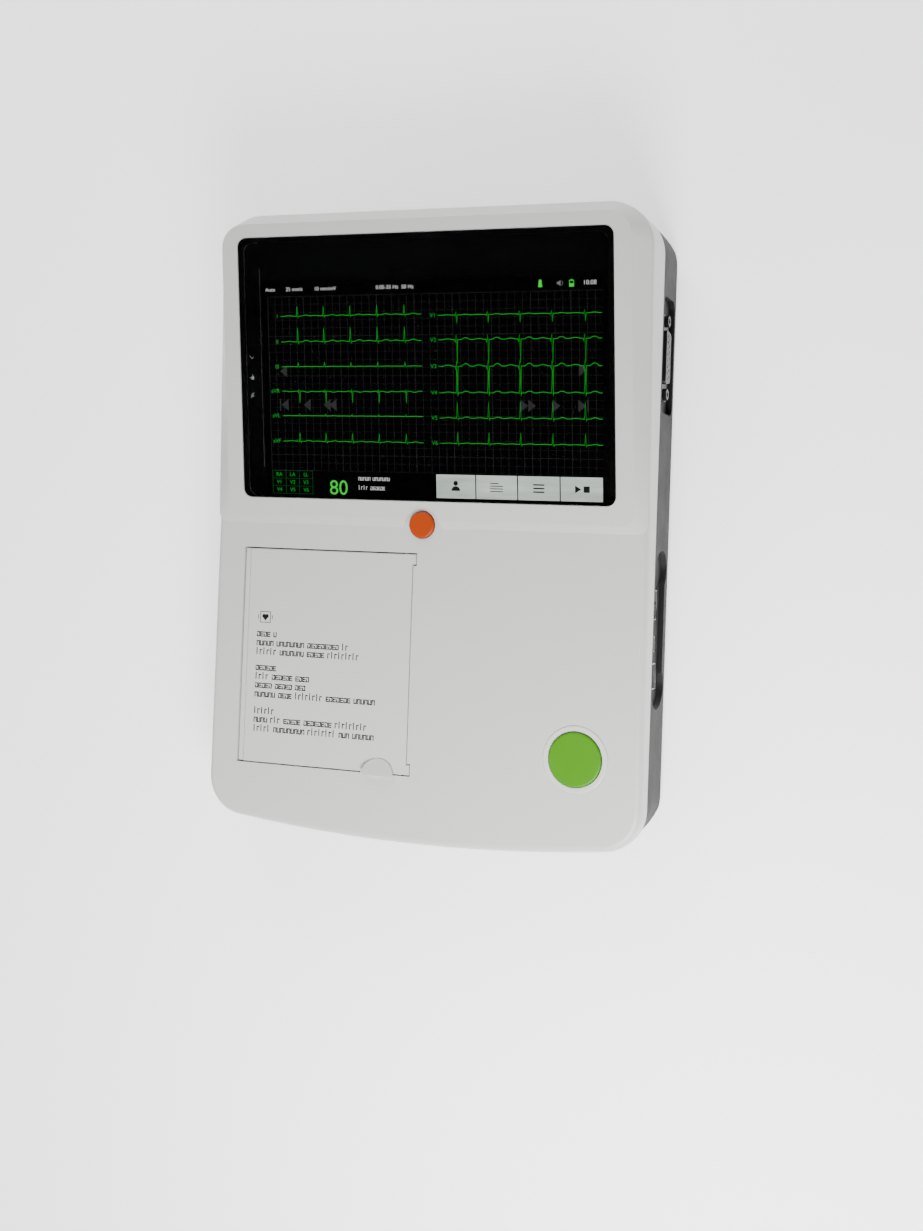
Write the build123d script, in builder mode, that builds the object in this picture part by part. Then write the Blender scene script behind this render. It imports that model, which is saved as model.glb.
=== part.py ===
from build123d import *
import os
from math import cos, radians, sin, tan

os.makedirs("parts", exist_ok=True)

# A desk-top electrocardiograph, lying on its feet. +Z is up and Z = 0 is the table. +Y points to
# the display end and -Y to the user. +X points to the side with the patient socket.

# ---------------------------------------------------------------- driving dimensions, mm
WIDTH = 210.0
TOP_Y = 144.0  # straight edge behind the display
FRONT_Y = -144.0  # middle of the bowed edge nearest the user
BOW = 7.4  # how far the bowed edge falls back at the sides
TOP_CORNER = 20.0
FRONT_CORNER = 18.0
WALL = 2.5
FOOT = 3.0
SEAM_Z = 32.5  # where the pale casing meets the dark one
SEAM_STEP = 0.4  # the dark casing stands back by this much
SIDE_X = WIDTH / 2
ABOVE = 80.0  # height clear above the whole machine, for cuts open to the top
GAP = 0.3  # play between pieces that move or lift out

CREASE_Y, CREASE_Z = -1.0, 46.0  # fold between the control panel and the display pod
PANEL_TILT, BEVEL_TILT, POD_TILT = 1.5, 4.25, 9.6
POD_STEP = 0.7
PANEL_EDGE_R = 3.0

POD_BASE = ((-104.6, 104.6), (-0.4, 145.0))  # foot of the pod's bevel, along its own plane
POD_FLAT = ((-98.6, 98.6), (3.3, 139.5))
POD_BASE_R, POD_FLAT_R = 19.5, 11.0
POD_LOW_R = 5.0

GLASS_X, GLASS_Y, GLASS_R = (-90.8, 90.8), (11.6, 133.4), 4.5
GLASS_T = 1.8
WINDOW_X, WINDOW_Y = (-88.0, 88.0), (12.2, 131.0)
SCREEN_X, SCREEN_Y = (-78.8, 85.3), (12.8, 112.3)

DOOR_X, DOOR_Y = (-87.1, -2.9), (-112.3, -12.45)
DOOR_INSET = 1.6  # right edge of the door stands back between its two ears
EAR = 4.6  # length of an ear
DOOR_T = 2.0
BAY_GAP = 0.55
EXIT_X = -90.3  # far side of the paper slot
LEDGE_X, LEDGE_DROP = -89.8, 1.0  # sunken ledge on the door's edge, which leaves a thin slot for the paper
HINGE_X, HINGE_Z = -8.0, -1.9
KNUCKLE_R, PIN_R = 1.9, 0.8
RUN = 0.05  # radial play of a running fit

POWER_AT, POWER_R, POWER_TRAVEL = (-0.2, 1.0), 6.05, 1.0
PRINT_AT, PRINT_R, PRINT_TRAVEL = (75.0, -98.8), 12.0, 1.2

PLATEN_X, PLATEN_Z, PLATEN_R, SHAFT_R = -82.0, -9.0, 5.0, 2.0
PAPER_Y = (-101.2, -21.2)
MODULE = 0.5
PLATEN_TEETH, IDLER_TEETH, PINION_TEETH = 24, 24, 12
GEAR_Y = (-109.7, -107.2)
ROLL_X, ROLL_Z, ROLL_R, CORE_R = -40.0, -20.3, 14.5, 6.5
ROLL_Y = (-101.0, -21.5)

BOSSES = [(-97, -100), (97, -100), (-97, 2), (97, 2), (-88, 126), (88, 126)]
BOSS_R = 4.0
FEET = [(-89, -88), (89, -88), (-84, 112), (84, 112)]
FOOT_R = 7.0
PORT_Z = 18.5  # height of every socket on the sides
RECESS = 2.5


# ---------------------------------------------------------------- planes and helpers
def tilted(y, z, tilt):
    """A plane that rises towards the display end by tilt degrees."""
    normal = (0, -sin(radians(tilt)), cos(radians(tilt)))
    return Plane(origin=(0, y, z), x_dir=(1, 0, 0), z_dir=normal)


PANEL = tilted(CREASE_Y, CREASE_Z, PANEL_TILT)
BEVEL = tilted(CREASE_Y, CREASE_Z, BEVEL_TILT)
POD = tilted(CREASE_Y, CREASE_Z + POD_STEP, POD_TILT)
RIGHT = Plane(origin=(SIDE_X, 0, 0), x_dir=(0, 1, 0), z_dir=(1, 0, 0))
LEFT = Plane(origin=(-SIDE_X, 0, 0), x_dir=(0, -1, 0), z_dir=(-1, 0, 0))


def across(y):
    """The plane square to the panel at y, with x to the right and the panel's normal up."""
    origin = PANEL.from_local_coords((0, y, 0))
    return Plane(origin=origin, x_dir=(1, 0, 0), z_dir=-PANEL.y_dir)


def roof(y, tilt):
    """Height of a plane through the crease at y."""
    return CREASE_Z + (y - CREASE_Y) * tan(radians(tilt))


def middle(limits):
    return (limits[0] + limits[1]) / 2


def span(limits):
    return limits[1] - limits[0]


def grown(limits, margin):
    """The limits moved apart by a margin on each side."""
    return limits[0] - margin, limits[1] + margin


def about(centre, half):
    """The limits of a stretch that reaches half its length each way."""
    return centre - half, centre + half


def block(plane, x, y, z, mode=Mode.ADD, radius=0):
    """A box between limits along the plane's axes, its upright edges rounded by radius."""
    with BuildSketch(plane.offset(z[0])) as face:
        with Locations((middle(x), middle(y))):
            if radius:
                RectangleRounded(span(x), span(y), radius)
            else:
                Rectangle(span(x), span(y))
    extrude(face.sketch, amount=span(z), mode=mode)


def post(plane, places, radius, z, mode=Mode.ADD, bore=0):
    """Round posts, or tubes, at places on the plane between two heights."""
    with BuildSketch(plane.offset(z[0])) as face:
        with Locations(*places):
            Circle(radius)
            if bore:
                Circle(bore, mode=Mode.SUBTRACT)
    extrude(face.sketch, amount=span(z), mode=mode)


def rod(centre, radius, y, mode=Mode.ADD, bore=0):
    """A round bar or tube along the panel, at (x, z) below it, between two y limits."""
    post(across(y[1]), [centre], radius, (0, span(y)), mode, bore)


def outline(plane, inset, corner=FRONT_CORNER):
    """The casing's plan form, moved in by inset."""
    with BuildSketch(plane) as plan:
        with BuildLine():
            Polyline((-SIDE_X, FRONT_Y + BOW), (-SIDE_X, TOP_Y), (SIDE_X, TOP_Y), (SIDE_X, FRONT_Y + BOW))
            ThreePointArc((SIDE_X, FRONT_Y + BOW), (0, FRONT_Y), (-SIDE_X, FRONT_Y + BOW))
        make_face()
        fillet(plan.vertices().group_by(Axis.Y)[-1], TOP_CORNER)
        fillet(plan.vertices().group_by(Axis.Y)[0], corner)
        if inset:
            offset(amount=-inset)
    return plan.sketch


def pod_section(plane, limits, high_r, low_r, inset):
    """One level of the display pod: a rectangle with two large and two small corners."""
    (x0, x1), (y0, y1) = limits
    with BuildSketch(plane) as level:
        with Locations((0, (y0 + y1) / 2)):
            Rectangle(x1 - x0 - 2 * inset, y1 - y0 - 2 * inset)
        fillet(level.vertices().group_by(Axis.Y)[-1], high_r - inset)
        fillet(level.vertices().group_by(Axis.Y)[0], low_r - inset)
    return level.sketch


def pod_solid(inset):
    """The display pod, or the hollow in it, from the bevel's foot to the flat around the glass."""
    low = pod_section(BEVEL.offset(-2 * inset), POD_BASE, POD_BASE_R, POD_LOW_R, inset)
    high = pod_section(POD.offset(-inset), POD_FLAT, POD_FLAT_R, POD_LOW_R, inset)
    loft([low, high], ruled=True)


def slab_solid(inset):
    """The casing under panel and pod, or the hollow in it, from the seam up."""
    extrude(outline(Plane.XY.offset(SEAM_Z), inset), amount=POD_FLAT[1][1])
    high = 2 * WIDTH
    with BuildSketch(Plane.YZ) as sky:
        with BuildLine():
            Polyline(
                (-WIDTH, roof(-WIDTH, PANEL_TILT) - inset),
                (CREASE_Y, CREASE_Z - inset),
                (WIDTH, roof(WIDTH, BEVEL_TILT) - inset),
                (WIDTH, high),
                (-WIDTH, high),
                close=True,
            )
        make_face()
    extrude(sky.sketch, amount=WIDTH, both=True, mode=Mode.SUBTRACT)


def save(part, label):
    """Label a finished piece and write it."""
    part.label = label
    export_step(part, f"parts/{label}.step")


def coil(plane, at, radius, wire, height, turns):
    """A compression spring standing on the plane at a place, made inside a part block."""
    base = Plane(origin=plane.from_local_coords((*at, wire)), x_dir=plane.x_dir, z_dir=plane.z_dir)
    path = base.location * Helix((height - 2 * wire) / turns, height - 2 * wire, radius)
    with BuildSketch(Plane(origin=path @ 0, z_dir=path % 0)) as section:
        Circle(wire / 2)
    sweep(section.sketch, path=path, is_frenet=True)


# ---------------------------------------------------------------- pale front casing
SURROUND_R, SURROUND_LIFT = 8.4, 0.35
BEZEL_R, BEZEL_SEAT = 14.8, 1.2
PILOT_R, PILOT_DEPTH = 1.5, 6.5
BOSS_TOP = {-100: roof(-100, PANEL_TILT), 2: roof(2, PANEL_TILT), 126: roof(126, POD_TILT)}
HINGE_BOSS = 5.0

with BuildPart() as slab:
    slab_solid(0)
    rim = [
        edge
        for edge in slab.edges()
        if abs(PANEL.to_local_coords(edge @ 0.5).Z) < 0.05 and (edge @ 0.5).Y < CREASE_Y - 1
    ]
    fillet(rim, PANEL_EDGE_R)

with BuildPart() as pod:
    pod_solid(0)

with BuildPart() as hollow:
    slab_solid(WALL)
    pod_solid(WALL)

with BuildPart() as front_shell:
    add(slab.part)
    add(pod.part)
    post(PANEL, [POWER_AT], SURROUND_R, (SURROUND_LIFT, BOSS_R), Mode.SUBTRACT)
    add(hollow.part, mode=Mode.SUBTRACT)
    post(PANEL, [POWER_AT], SURROUND_R + 1, (-WALL, SURROUND_LIFT))
    # bosses that take the case screws from below
    for x, y in BOSSES:
        post(Plane.XY, [(x, y)], BOSS_R, (SEAM_Z, BOSS_TOP[y] - 1))
    post(Plane.XY, BOSSES, PILOT_R, (SEAM_Z, SEAM_Z + PILOT_DEPTH), Mode.SUBTRACT)
    # pocket for the glass and the window under it
    block(POD, GLASS_X, GLASS_Y, (-GLASS_T - 0.2, WALL), Mode.SUBTRACT, GLASS_R)
    block(POD, WINDOW_X, WINDOW_Y, (-3 * WALL, WALL), Mode.SUBTRACT, GLASS_R)
    # button openings
    post(PANEL, [POWER_AT], POWER_R + GAP, (-2 * WALL, 2 * WALL), Mode.SUBTRACT)
    post(PANEL, [PRINT_AT], PRINT_R + 2 * GAP, (-2 * WALL, 2 * WALL), Mode.SUBTRACT)
    post(PANEL, [PRINT_AT], BEZEL_R, (-BEZEL_SEAT, 2 * WALL), Mode.SUBTRACT)
    # paper bay: ears at both ends of its right edge, and the paper slot along its left edge
    bay_y = grown(DOOR_Y, BAY_GAP)
    bay_mid = (DOOR_Y[0] + EAR + BAY_GAP, DOOR_Y[1] - EAR - BAY_GAP)
    block(PANEL, (EXIT_X, DOOR_X[1] - DOOR_INSET + BAY_GAP), bay_y, (-2 * WALL, WALL), Mode.SUBTRACT)
    for ear_y in ((bay_y[0], bay_mid[0]), (bay_mid[1], bay_y[1])):
        block(PANEL, (HINGE_X, DOOR_X[1] + BAY_GAP), ear_y, (-2 * WALL, WALL), Mode.SUBTRACT)
    # blocks under the panel that hold the hinge pins
    for y0 in (bay_y[0] - HINGE_BOSS, bay_y[1]):
        block(PANEL, about(HINGE_X, 3), (y0, y0 + HINGE_BOSS), (HINGE_Z - 2.4, -WALL + 0.2))
        rod((HINGE_X, HINGE_Z), PIN_R, (y0 - 1, y0 + HINGE_BOSS + 1), Mode.SUBTRACT)
save(front_shell.part, "front_shell")


# ---------------------------------------------------------------- dark rear casing
RAKE_FRONT, RAKE_TOP = 24.0, 14.0  # how far the ends lean in between seam and floor
END_R = 12.0
FLOOR_TOP = FOOT + WALL
BACKING = 6.0  # depth of the solid behind a recess
PATIENT_Y, PORTS_Y, RECESS_Z = (54.0, 106.6), (-76.5, -8.5), (8.0, 29.0)
INLET_Y, FUSE_Y, EARTH_Y = 86.0, (58.0, 42.0), 20.0
BATTERY_X, BATTERY_Y = (10.0, 72.0), (-97.0, -39.0)
COVER_LIP, COVER_STEP = 4.0, 1.2
COVER_SCREWS = [(middle(BATTERY_X), BATTERY_Y[0] - 2), (middle(BATTERY_X), BATTERY_Y[1] + 2)]
SPEAKER_AT, SPEAKER_R = (45.0, 105.0), 13.0
HEAD_R, HEAD_Z = 2.8, 8.0


def rear_solid(inset):
    """The dark casing below the seam, or its hollow: sides upright, both ends raked and rounded."""
    low = Plane.XY.offset(FOOT + inset)
    extrude(outline(low, SEAM_STEP + inset, FRONT_CORNER + 4), amount=SEAM_Z - FOOT - inset)
    fillet(edges().group_by(Axis.Z)[0], PANEL_EDGE_R)
    with BuildSketch(Plane.YZ) as side:
        with BuildLine():
            Polyline(
                (FRONT_Y + SEAM_STEP + inset, SEAM_Z),
                (FRONT_Y + RAKE_FRONT + inset, FOOT + inset),
                (TOP_Y - RAKE_TOP - inset, FOOT + inset),
                (TOP_Y - SEAM_STEP - inset, SEAM_Z),
                close=True,
            )
        make_face()
        fillet(side.vertices().group_by(Axis.Y)[0], END_R)
    extrude(side.sketch, amount=WIDTH, both=True, mode=Mode.INTERSECT)


with BuildPart() as rear_outer:
    rear_solid(0)

with BuildPart() as rear_hollow:
    rear_solid(WALL)

with BuildPart() as rear_shell:
    add(rear_outer.part)
    add(rear_hollow.part, mode=Mode.SUBTRACT)
    # solid backing behind the side recesses
    inner = SIDE_X - SEAM_STEP - WALL
    for y in (PATIENT_Y, PORTS_Y):
        block(Plane.XY, (inner - RECESS, inner + 1), grown(y, WALL), (FLOOR_TOP - 1, RECESS_Z[1] + 1))
    block(Plane.XY, (-inner - 1, -inner + BACKING + 2), about(EARTH_Y, 11), (FLOOR_TOP - 1, RECESS_Z[1]))
    # bosses for the case screws
    post(Plane.XY, BOSSES, BOSS_R, (FOOT + 1, SEAM_Z))
    post(Plane.XY, BOSSES, PILOT_R + 0.2, (0, SEAM_Z), Mode.SUBTRACT)
    post(Plane.XY, BOSSES, HEAD_R + GAP, (0, HEAD_Z), Mode.SUBTRACT)
    # standoffs for the two boards
    post(Plane.XY, [(-24, 22), (82, 22), (-24, 88), (82, 88)], 2.5, (FLOOR_TOP - 1, 14))
    post(Plane.XY, [(-74, 40), (-36, 40), (-74, 108), (-36, 108)], 2.5, (FLOOR_TOP - 1, 14))
    # recesses: rounded for the patient socket, with lens-shaped scooped ends for the data ports
    block(RIGHT, PATIENT_Y, RECESS_Z, (-RECESS - SEAM_STEP, 1), Mode.SUBTRACT, 4)
    block(RIGHT, grown(PORTS_Y, -9), (RECESS_Z[0] + 3, RECESS_Z[1]), (-RECESS, 1), Mode.SUBTRACT, 2)
    for y in grown(PORTS_Y, -8):
        with BuildSketch(RIGHT.offset(-RECESS - SEAM_STEP)) as scoop:
            with Locations((y, middle(RECESS_Z))):
                Ellipse(8, 9.5, rotation=20)
        extrude(scoop.sketch, amount=RECESS + 1, taper=-25, mode=Mode.SUBTRACT)
    # openings for the sockets on the right
    block(RIGHT, (61.2, 98.2), about(PORT_Z, 5.6), (-12, 1), Mode.SUBTRACT, 3)
    block(RIGHT, (-38.6, -24.8), about(PORT_Z, 3.4), (-12, 1), Mode.SUBTRACT, 0.6)
    block(RIGHT, (-52.6, -45.4), about(PORT_Z, 2.2), (-12, 1), Mode.SUBTRACT, 0.6)
    block(RIGHT, (-69.4, -57.2), about(PORT_Z, 5.6), (-12, 1), Mode.SUBTRACT, 0.6)
    # openings on the left: mains inlet, fuse holders and the earth stud in its cup
    block(LEFT, about(-INLET_Y, 13.8), about(PORT_Z, 10.2), (-12, 1), Mode.SUBTRACT, 2)
    post(LEFT, [(-y, PORT_Z) for y in FUSE_Y], 6.3, (-12, 1), Mode.SUBTRACT)
    post(LEFT, [(-EARTH_Y, PORT_Z)], 8.5, (-BACKING - SEAM_STEP, 1), Mode.SUBTRACT)
    post(LEFT, [(-EARTH_Y, PORT_Z)], 2.0, (-3 * BACKING, 1), Mode.SUBTRACT)
    # battery bay in the floor, speaker slots and cooling slots
    lip_x = grown(BATTERY_X, COVER_LIP)
    lip_y = grown(BATTERY_Y, COVER_LIP)
    pack_x = grown(BATTERY_X, 2 * GAP)
    pack_y = grown(BATTERY_Y, 2 * GAP)
    block(Plane.XY, grown(pack_x, WALL), grown(pack_y, WALL), (FLOOR_TOP - 1, 14))
    block(Plane.XY, pack_x, pack_y, (0, 2 * FLOOR_TOP + BACKING), Mode.SUBTRACT)
    block(Plane.XY, lip_x, lip_y, (0, FOOT + COVER_STEP), Mode.SUBTRACT, 2)
    for y in grown(lip_y, -2):
        post(Plane.XY, [(middle(BATTERY_X), y)], 0.9, (FOOT, 11), Mode.SUBTRACT)
    with BuildSketch(Plane.XY) as slots:
        with Locations(SPEAKER_AT):
            with GridLocations(0, 4, 1, 5):
                SlotOverall(18, 1.6)
        with Locations((-20, 60)):
            with GridLocations(26, 6, 3, 6):
                SlotOverall(20, 2)
    extrude(slots.sketch, amount=FLOOR_TOP + 1, mode=Mode.SUBTRACT)
save(rear_shell.part, "rear_shell")

with BuildPart() as seam_gasket:
    extrude(outline(Plane.XY.offset(SEAM_Z), WALL + 0.1), amount=2)
    extrude(outline(Plane.XY.offset(SEAM_Z), WALL + 1), amount=2, mode=Mode.SUBTRACT)
save(seam_gasket.part, "seam_gasket")

with BuildPart() as rubber_feet:
    post(Plane.XY, FEET, FOOT_R, (0, FOOT))
    fillet(rubber_feet.edges().group_by(Axis.Z)[0], 0.8)
save(rubber_feet.part, "rubber_feet")

with BuildPart() as case_screws:
    post(Plane.XY, BOSSES, HEAD_R, (HEAD_Z - 2.2, HEAD_Z))
    post(Plane.XY, BOSSES, PILOT_R, (HEAD_Z, SEAM_Z + PILOT_DEPTH - 0.5))
    with BuildSketch(Plane.XY.offset(HEAD_Z - 2.2)) as cross:
        with Locations(*BOSSES):
            Rectangle(3.2, 0.7)
            Rectangle(0.7, 3.2)
    extrude(cross.sketch, amount=1.2, mode=Mode.SUBTRACT)
save(case_screws.part, "case_screws")

# ---------------------------------------------------------------- display
with BuildPart() as touch_glass:
    inner_x = grown(GLASS_X, -GAP)
    inner_y = grown(GLASS_Y, -GAP)
    block(POD, inner_x, inner_y, (-GLASS_T, 0), radius=GLASS_R - GAP)
    chamfer(touch_glass.faces().sort_by(Axis.Z)[-1].edges(), 0.25)
save(touch_glass.part, "touch_glass")

with BuildPart() as display_mask:
    mask_x, mask_y = grown(WINDOW_X, -0.2), grown(WINDOW_Y, -0.2)
    block(POD, mask_x, mask_y, (-2.4, -1.85), radius=GLASS_R)
    block(POD, SCREEN_X, SCREEN_Y, (-3, 0), Mode.SUBTRACT)
save(display_mask.part, "display_mask")

LCD_X, LCD_Y, LCD_Z = (-81.0, 88.0), (12.0, 116.5), (-6.8, -2.8)
with BuildPart() as lcd_panel:
    block(POD, LCD_X, LCD_Y, LCD_Z)
save(lcd_panel.part, "lcd_panel")

with BuildPart() as lcd_bracket:
    plate_x, plate_y = grown(LCD_X, 1.6), (LCD_Y[0] - 0.9, LCD_Y[1] + 5.5)
    block(POD, plate_x, plate_y, (LCD_Z[0] - 1.2, -2.8))
    block(POD, grown(LCD_X, 0.2), grown(LCD_Y, 0.2), (LCD_Z[0], 0), Mode.SUBTRACT)
    with BuildSketch(POD.offset(LCD_Z[0] - 1.2)) as lightening:
        with Locations((0, middle(LCD_Y))):
            with GridLocations(52, 46, 3, 2):
                RectangleRounded(40, 34, 3)
    extrude(lightening.sketch, amount=1.2, mode=Mode.SUBTRACT)
save(lcd_bracket.part, "lcd_bracket")

with BuildPart() as status_leds:
    for y in (59.6, 68.3, 77.5):
        block(POD, (-87.0, -84.8), about(y, 1), (-6.2, -2.8))
    block(POD, (-87.6, -85.8), (54, 83), (-7.4, -6.2))
save(status_leds.part, "status_leds")


# ---------------------------------------------------------------- buttons
def button_cap(at, radius, crown, flange_z):
    """A round cap with a crowned top, a retaining flange and a plunger underneath."""
    post(PANEL, [at], radius, (flange_z[1], crown))
    fillet(faces().sort_by(Axis.Z)[-1].edges(), 0.9)
    post(PANEL, [at], radius + 1.4, flange_z)
    post(PANEL, [at], 1.5, (flange_z[0] - 2, flange_z[0]))


def tact_switch(at, top_z):
    """A square tactile switch with a round actuator."""
    block(PANEL, about(at[0], 3), about(at[1], 3), (top_z - 4.3, top_z - 1))
    post(PANEL, [at], 1.75, (top_z - 1, top_z))


FLANGE_Z = (-4.2, -2.85)
POWER_CROWN, PRINT_CROWN = 1.9, 1.6
PLUNGER = 2.0
POWER_SWITCH_Z = FLANGE_Z[0] - PLUNGER - POWER_TRAVEL - 0.15
PRINT_SWITCH_Z = FLANGE_Z[0] - PLUNGER - PRINT_TRAVEL - 0.15
SWITCH_H, BOARD_T = 4.3, 1.6

with BuildPart() as power_button:
    button_cap(POWER_AT, POWER_R, POWER_CROWN, FLANGE_Z)
save(power_button.part, "power_button")

with BuildPart() as print_button:
    button_cap(PRINT_AT, PRINT_R, PRINT_CROWN, FLANGE_Z)
save(print_button.part, "print_button")

with BuildPart() as print_button_bezel:
    post(PANEL, [PRINT_AT], BEZEL_R - 0.05, (-BEZEL_SEAT, 0.5), bore=PRINT_R + GAP)
    fillet(print_button_bezel.edges().filter_by(GeomType.CIRCLE).sort_by(SortBy.RADIUS)[-1], 0.6)
save(print_button_bezel.part, "print_button_bezel")

with BuildPart() as power_switch:
    tact_switch(POWER_AT, POWER_SWITCH_Z)
save(power_switch.part, "power_switch")

with BuildPart() as print_switch:
    tact_switch(PRINT_AT, PRINT_SWITCH_Z)
save(print_switch.part, "print_switch")

with BuildPart() as power_board:
    high = POWER_SWITCH_Z - SWITCH_H
    block(PANEL, (-11, 11), (-8, 7.6), (high - BOARD_T, high))
save(power_board.part, "power_board")

with BuildPart() as print_board:
    high = PRINT_SWITCH_Z - SWITCH_H
    block(PANEL, about(PRINT_AT[0], 14), (PRINT_AT[1] - 12, PRINT_AT[1] + 14), (high - BOARD_T, high))
save(print_board.part, "print_board")

with BuildPart() as power_spring:
    seat = POWER_SWITCH_Z - SWITCH_H
    coil(PANEL.offset(seat), POWER_AT, 5.3, 0.5, FLANGE_Z[0] - seat, 4)
save(power_spring.part, "power_button_spring")

with BuildPart() as print_spring:
    seat = PRINT_SWITCH_Z - SWITCH_H
    coil(PANEL.offset(seat), PRINT_AT, 8.0, 0.7, FLANGE_Z[0] - seat, 4)
save(print_spring.part, "print_button_spring")

# ---------------------------------------------------------------- paper door
LUG_T, LUG_R = 2.0, 3.6
LUG_Y = [(-104.0, -102.0), (-20.5, -18.5)]
TAB_X, TAB_Y, TAB_H = (-25.6, -9.9), -112.2, 3.2
BUSH_R = 2.7

with BuildPart() as paper_door:
    mid_y = grown(DOOR_Y, -EAR)
    block(PANEL, (DOOR_X[0], DOOR_X[1] - DOOR_INSET), DOOR_Y, (-DOOR_T, 0))
    for ear_y in ((DOOR_Y[0], mid_y[0]), (mid_y[1], DOOR_Y[1])):
        block(PANEL, (HINGE_X, DOOR_X[1]), ear_y, (-DOOR_T, 0))
    top_edges = [edge for edge in paper_door.edges() if abs(PANEL.to_local_coords(edge @ 0.5).Z) < 0.01]
    chamfer(top_edges, 0.35)
    block(PANEL, (LEDGE_X, DOOR_X[0] + 1), DOOR_Y, (-DOOR_T, -LEDGE_DROP))
    # stiffening rib beside the slot, lugs that carry the platen, and hinge knuckles
    block(PANEL, (-76, -74.6), (LUG_Y[0][1], LUG_Y[1][0]), (-3.6, -DOOR_T))
    for lug_y in LUG_Y:
        rod((PLATEN_X, PLATEN_Z), LUG_R, lug_y)
        block(PANEL, (PLATEN_X - LUG_R, PLATEN_X + 2 * LUG_R), lug_y, (PLATEN_Z, -DOOR_T))
        rod((PLATEN_X, PLATEN_Z), BUSH_R, grown(lug_y, 1), Mode.SUBTRACT)
    for ear_y in ((DOOR_Y[0], mid_y[0]), (mid_y[1], DOOR_Y[1])):
        rod((HINGE_X, HINGE_Z), KNUCKLE_R, ear_y)
        rod((HINGE_X, HINGE_Z), PIN_R + RUN, grown(ear_y, 1), Mode.SUBTRACT)
save(paper_door.part, "paper_door")

with BuildPart() as door_tab:
    with BuildSketch(PANEL) as lens:
        with BuildLine():
            tab_mid = middle(TAB_X)
            ThreePointArc((TAB_X[0], TAB_Y), (tab_mid, TAB_Y + 6.4), (TAB_X[1], TAB_Y))
            ThreePointArc((TAB_X[1], TAB_Y), (tab_mid, TAB_Y - 2.2), (TAB_X[0], TAB_Y))
        make_face()
    extrude(lens.sketch, amount=TAB_H)
    with BuildSketch(Plane.YZ.offset(TAB_X[0] - 1)) as wedge:
        with BuildLine():
            low = PANEL.from_local_coords((0, TAB_Y - 0.3, 0.6))
            back = PANEL.from_local_coords((0, TAB_Y + 7, 0.1))
            peak = PANEL.from_local_coords((0, TAB_Y - 1.0, TAB_H - 0.2))
            tip = PANEL.from_local_coords((0, TAB_Y - 4, TAB_H - 0.6))
            Polyline((back.Y, back.Z), (peak.Y, peak.Z), (tip.Y, tip.Z), (tip.Y, ABOVE), (back.Y, ABOVE),
                     close=True)
        make_face()
    extrude(wedge.sketch, amount=span(TAB_X) + 2, mode=Mode.SUBTRACT)
    with BuildSketch(Plane.YZ.offset(TAB_X[0] - 1)) as undercut:
        with BuildLine():
            Polyline((low.Y + 0.4, low.Z - 3), (low.Y + 0.4, low.Z), (tip.Y, tip.Z - 1.2), (tip.Y, low.Z - 3),
                     close=True)
        make_face()
    extrude(undercut.sketch, amount=span(TAB_X) + 2, mode=Mode.SUBTRACT)
save(door_tab.part, "door_tab")

with BuildPart() as hinge_pins:
    pin_low = (DOOR_Y[0] - BAY_GAP - HINGE_BOSS + 1, DOOR_Y[0] + EAR)
    pin_high = (DOOR_Y[1] - EAR, DOOR_Y[1] + BAY_GAP + HINGE_BOSS - 1)
    for pin_y in (pin_low, pin_high):
        rod((HINGE_X, HINGE_Z), PIN_R, pin_y)
save(hinge_pins.part, "hinge_pins")

# ---------------------------------------------------------------- platen and gear train
with BuildPart() as platen_bushes:
    for lug_y in LUG_Y:
        rod((PLATEN_X, PLATEN_Z), BUSH_R, lug_y, bore=SHAFT_R + RUN)
save(platen_bushes.part, "platen_bushes")

with BuildPart() as platen_shaft:
    rod((PLATEN_X, PLATEN_Z), SHAFT_R, (GEAR_Y[0] - 0.5, LUG_Y[1][1] + 2.6))
save(platen_shaft.part, "platen_shaft")

with BuildPart() as platen_rubber:
    rod((PLATEN_X, PLATEN_Z), PLATEN_R, PAPER_Y, bore=SHAFT_R)
save(platen_rubber.part, "platen_rubber")


def gear(centre, teeth, turn, bore):
    """A spur gear with straight-sided teeth and backlash, one tooth pointing to turn degrees."""
    pitch_r = teeth * MODULE / 2
    step = 360 / teeth
    root_r, tip_r = pitch_r - 1.15 * MODULE, pitch_r + 0.85 * MODULE
    corners = [
        Vector(radius, 0).rotate(Axis.Z, turn + step * (tooth + part)) + Vector(*centre)
        for tooth in range(teeth)
        for radius, part in ((root_r, -0.30), (tip_r, -0.11), (tip_r, 0.11), (root_r, 0.30))
    ]
    with BuildSketch(across(GEAR_Y[1])) as wheel:
        with BuildLine():
            Polyline(*[(corner.X, corner.Y) for corner in corners], close=True)
        make_face()
        with Locations(centre):
            Circle(bore, mode=Mode.SUBTRACT)
    extrude(wheel.sketch, amount=span(GEAR_Y))


def beyond(centre, distance, angle):
    """The point at a distance from centre in a direction given in degrees."""
    return (centre[0] + distance * cos(radians(angle)), centre[1] + distance * sin(radians(angle)))


PLATEN_AT = (PLATEN_X, PLATEN_Z)
DOWN = -85.3  # from platen to idler, in line with the way the door lifts the platen out
IDLER_TURN = DOWN + 180 + 180 / IDLER_TEETH
TO_PINION = IDLER_TURN - 8 * 360 / IDLER_TEETH
IDLER_AT = beyond(PLATEN_AT, MODULE * (PLATEN_TEETH + IDLER_TEETH) / 2, DOWN)
PINION_AT = beyond(IDLER_AT, MODULE * (IDLER_TEETH + PINION_TEETH) / 2, TO_PINION)
MOTOR_R, MOTOR_Y, MOTOR_SHAFT_R = 6.8, (-104.6, -91.0), 1.0
SIDE_PLATE_Y = (-106.2, -104.8)

with BuildPart() as platen_gear:
    gear(PLATEN_AT, PLATEN_TEETH, DOWN, SHAFT_R)
save(platen_gear.part, "platen_gear")

with BuildPart() as idler_gear:
    gear(IDLER_AT, IDLER_TEETH, IDLER_TURN, MOTOR_SHAFT_R + RUN)
save(idler_gear.part, "idler_gear")

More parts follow.
